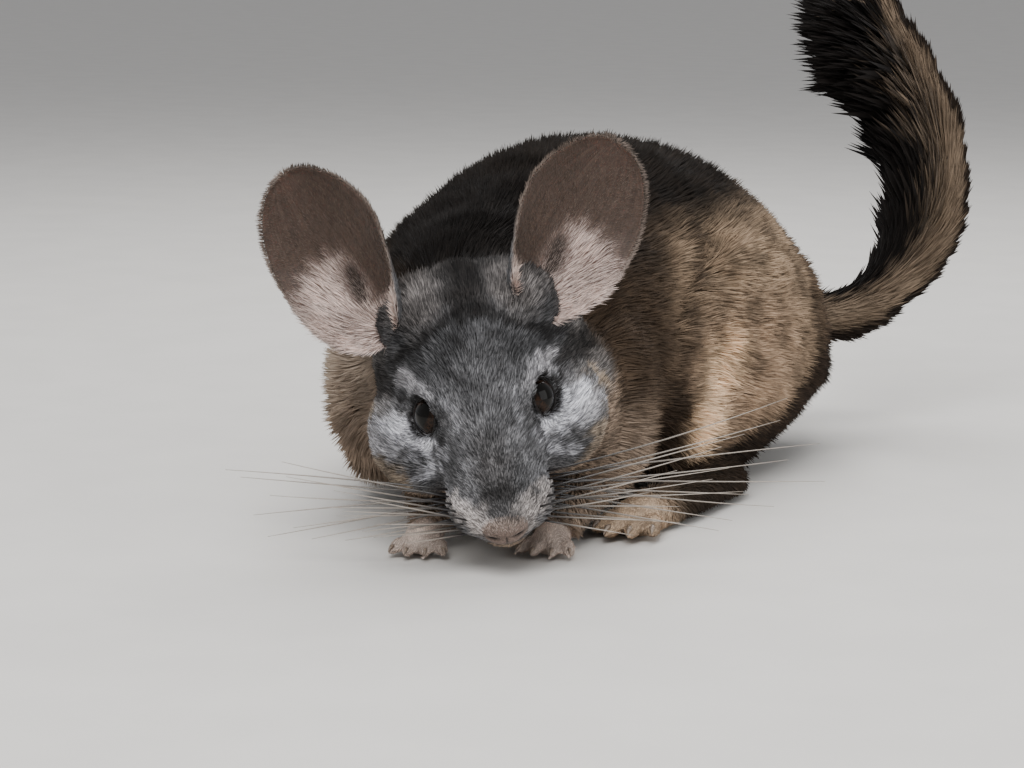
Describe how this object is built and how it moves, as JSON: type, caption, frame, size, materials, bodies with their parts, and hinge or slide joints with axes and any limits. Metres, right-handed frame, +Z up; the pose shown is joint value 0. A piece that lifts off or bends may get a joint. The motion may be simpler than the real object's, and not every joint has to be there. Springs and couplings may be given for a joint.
{
  "type": "crouching chinchilla model",
  "caption": "Life-size still model of a grey chinchilla, crouching with its head lowered, large ears raised and bushy tail curled up.",
  "frame": {"origin": "bottom centre of the animal's box, on the floor it crouches on", "axes": "+Y from the head towards the tail, +X to the animal's left side, +Z up"},
  "size_m": [0.1876, 0.331, 0.1763],
  "materials": {
    "coat_back": "matt fur",
    "coat_flank": "matt fur",
    "coat_face": "matt fur",
    "coat_pale": "matt fur",
    "ear_skin": "matt skin",
    "eye": "wet gloss",
    "bristle": "coarse fur"
  },
  "bodies": {
    "root": {"head": "coat_face", "muzzle": "coat_face", "jaw": "coat_pale", "neck": "coat_back", "torso": "coat_back", "thigh_left": "coat_flank", "thigh_right": "coat_flank", "eye_left": "eye", "eye_right": "eye", "ear_left": "ear_skin", "ear_right": "ear_skin", "foreleg_left": "coat_flank", "foreleg_right": "coat_flank", "forepaw_left": "coat_pale", "forepaw_right": "coat_pale", "hind_foot_left": "coat_pale", "hind_foot_right": "coat_pale", "tail_base": "bristle", "tail_middle": "bristle", "tail_tip": "bristle"}
  },
  "joints": []
}
